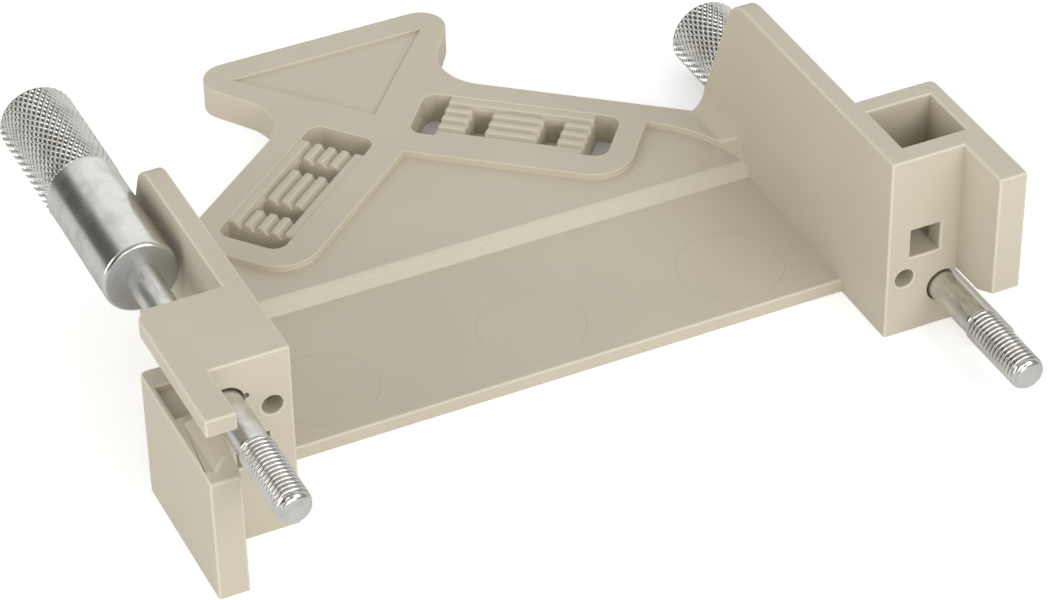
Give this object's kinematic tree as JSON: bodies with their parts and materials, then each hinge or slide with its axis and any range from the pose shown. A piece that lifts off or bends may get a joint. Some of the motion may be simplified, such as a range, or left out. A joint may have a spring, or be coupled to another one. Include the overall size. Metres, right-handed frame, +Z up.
{
  "type": "connector hood base",
  "caption": "Base half of a moulded connector hood with captive locking screws, strain-relief slots and a T-shaped cable tail.",
  "frame": {"origin": "on the flat underside, in the middle of the connector bay, level with the front faces of the end blocks", "axes": "+X along the bay towards the end block whose screw lies low, +Y from the bay towards the T-shaped tail, +Z up from the underside to the open side"},
  "size_m": [0.1146, 0.1175, 0.0284],
  "materials": {
    "moulding": "fine matt moulded texture, warm pebble grey",
    "screw_steel": "bright turned and plated steel, knurled grip"
  },
  "bodies": {
    "hood": {"hood_shell": "moulding"},
    "left_screw": {"left_locking_screw": "screw_steel"},
    "right_screw": {"right_locking_screw": "screw_steel"}
  },
  "joints": [
    {"name": "left_screw_turn", "type": "hinge", "parent": "hood", "child": "left_screw", "pos_m": [-0.0513, 0, 0.0223], "axis": [0, 1, 0], "continuous": true},
    {"name": "right_screw_turn", "type": "hinge", "parent": "hood", "child": "right_screw", "pos_m": [0.0513, 0, 0.0061], "axis": [0, 1, 0], "continuous": true}
  ]
}
